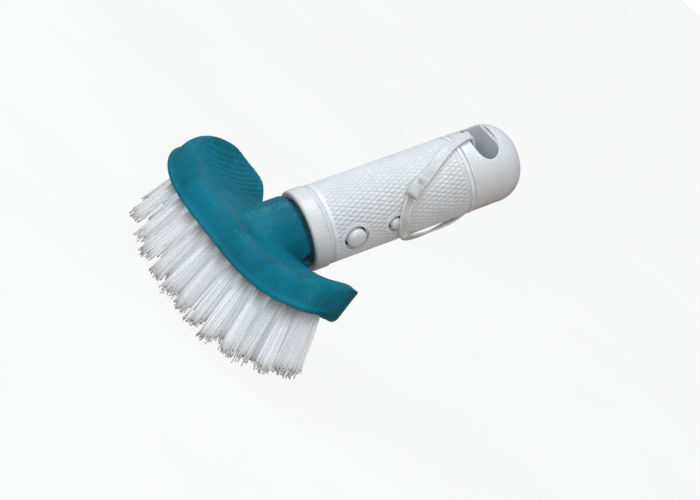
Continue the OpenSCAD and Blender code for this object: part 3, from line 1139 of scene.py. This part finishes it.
def finish_cad_nodes():
    """Materials for the CAD nodes that stay as they are."""
    looks = {"handle_core": WARM_WHITE, "tuft_anchors": STEEL, "clip_bow": STEEL}
    for word in ("left", "right"):
        looks["clip_arm_" + word] = STEEL
        looks["clip_rivets_" + word] = STEEL
    for node, material in looks.items():
        obj = frame["nodes"][node]
        if not obj.material_slots:
            obj.data.materials.append(material)
        for material_slot in obj.material_slots:
            material_slot.material = material


# ---------------------------------------------------------------- stage

# The way up in the camera's picture.
IMAGE_UP = Vector((0.3187, -0.5364, 0.7815))


def make_floor():
    """Pale floor: near white to the camera, dim and warm as a reflector."""
    low = cad_box[0].z
    size = 3.0
    corners = [(-size, -size), (size, -size), (size, size), (-size, size)]
    points = [[x / MM, y / MM, low / MM] for x, y in corners]
    floor = new_object("floor", (points, [[0, 1, 2, 3]]))
    s = Shader("pale_floor")
    grain = s.between(s.noise(6.0), 0.3, 0.7)
    brown = s.blend(grain, (0.30, 0.23, 0.18), (0.26, 0.20, 0.16))
    pale = s.blend(grain, (0.97, 0.97, 0.97), (0.95, 0.95, 0.95))
    soft = s.add("BsdfDiffuse", {"Color": pale})
    glow = s.add("Emission", {"Color": pale, "Strength": 1.0})
    seen = s.add("MixShader", {0: 0.93, 1: soft.outputs[0], 2: glow.outputs[0]})
    unseen = s.add("BsdfDiffuse", {"Color": brown})
    camera_ray = s.add("LightPath").outputs["Is Camera Ray"]
    both = s.add("MixShader", {0: camera_ray, 1: unseen.outputs[0], 2: seen.outputs[0]})
    s.add("OutputMaterial", {"Surface": both.outputs[0]})
    floor.data.materials.append(s.material)


def make_world():
    """Soft studio surround: cool from above, warm from below, plain white behind the object."""
    world = bpy.data.worlds.new("studio")
    world.use_nodes = True
    tree = world.node_tree
    tree.nodes.clear()
    direction = tree.nodes.new("ShaderNodeTexCoord")
    dot = tree.nodes.new("ShaderNodeVectorMath")
    dot.operation = "DOT_PRODUCT"
    dot.inputs[1].default_value = IMAGE_UP
    tree.links.new(direction.outputs["Generated"], dot.inputs[0])
    to_unit = tree.nodes.new("ShaderNodeMapRange")
    to_unit.inputs["From Min"].default_value = -1.0
    tree.links.new(dot.outputs["Value"], to_unit.inputs["Value"])
    ramp = tree.nodes.new("ShaderNodeValToRGB")
    ramp.color_ramp.elements[0].color = (0.23, 0.18, 0.145, 1)
    ramp.color_ramp.elements[1].color = (0.54, 0.61, 0.68, 1)
    middle = ramp.color_ramp.elements.new(0.5)
    middle.color = (0.46, 0.47, 0.49, 1)
    tree.links.new(to_unit.outputs["Result"], ramp.inputs["Fac"])
    light = tree.nodes.new("ShaderNodeBackground")
    tree.links.new(ramp.outputs["Color"], light.inputs["Color"])
    white = tree.nodes.new("ShaderNodeBackground")
    white.inputs["Color"].default_value = (1, 1, 1, 1)
    path = tree.nodes.new("ShaderNodeLightPath")
    both = tree.nodes.new("ShaderNodeMixShader")
    tree.links.new(path.outputs["Is Camera Ray"], both.inputs[0])
    tree.links.new(light.outputs[0], both.inputs[1])
    tree.links.new(white.outputs[0], both.inputs[2])
    output = tree.nodes.new("ShaderNodeOutputWorld")
    tree.links.new(both.outputs[0], output.inputs["Surface"])
    bpy.context.scene.world = world


def soft_light(name, direction, distance, size, power, colour):
    """Round area light that faces the middle of the CAD box from a direction."""
    data = bpy.data.lights.new(name, "AREA")
    data.shape = "DISK"
    data.size = size
    data.energy = power
    data.color = colour
    light = bpy.data.objects.new(name, data)
    toward = Vector(direction).normalized()
    centre = (cad_box[0] + cad_box[1]) / 2
    light.location = centre + toward * distance
    light.rotation_mode = "QUATERNION"
    light.rotation_quaternion = (-toward).to_track_quat("-Z", "Y")
    bpy.context.scene.collection.objects.link(light)


def make_camera():
    """Long lens, turned about its own axis, from the near right of the head."""
    azimuth, elevation = math.radians(46.694), math.radians(12.393)
    roll = math.radians(36.856)
    distance = 1.11038
    target = Vector((-0.03102, 0.02096, 0.02742))
    back = Vector((math.cos(azimuth) * math.cos(elevation), math.sin(azimuth) * math.cos(elevation),
                   math.sin(elevation)))
    data = bpy.data.cameras.new("camera")
    data.lens = 128.57
    data.sensor_width = 36.0
    camera = bpy.data.objects.new("camera", data)
    camera.location = target + back * distance
    camera.rotation_mode = "QUATERNION"
    camera.rotation_quaternion = (-back).to_track_quat("-Z", "Y") @ Quaternion((0, 0, 1), roll)
    bpy.context.scene.collection.objects.link(camera)
    bpy.context.scene.camera = camera


make_pieces()
finish_cad_nodes()
make_floor()
make_world()
soft_light("key", direction=(0.523, -0.145, 0.711), distance=0.9, size=0.7, power=4.0,
           colour=(0.96, 0.98, 1.0))
soft_light("fill", direction=(0.55, 0.83, 0.05), distance=1.2, size=0.8, power=6.5,
           colour=(1.0, 0.985, 0.96))
make_camera()
bpy.context.scene.view_settings.view_transform = "Standard"
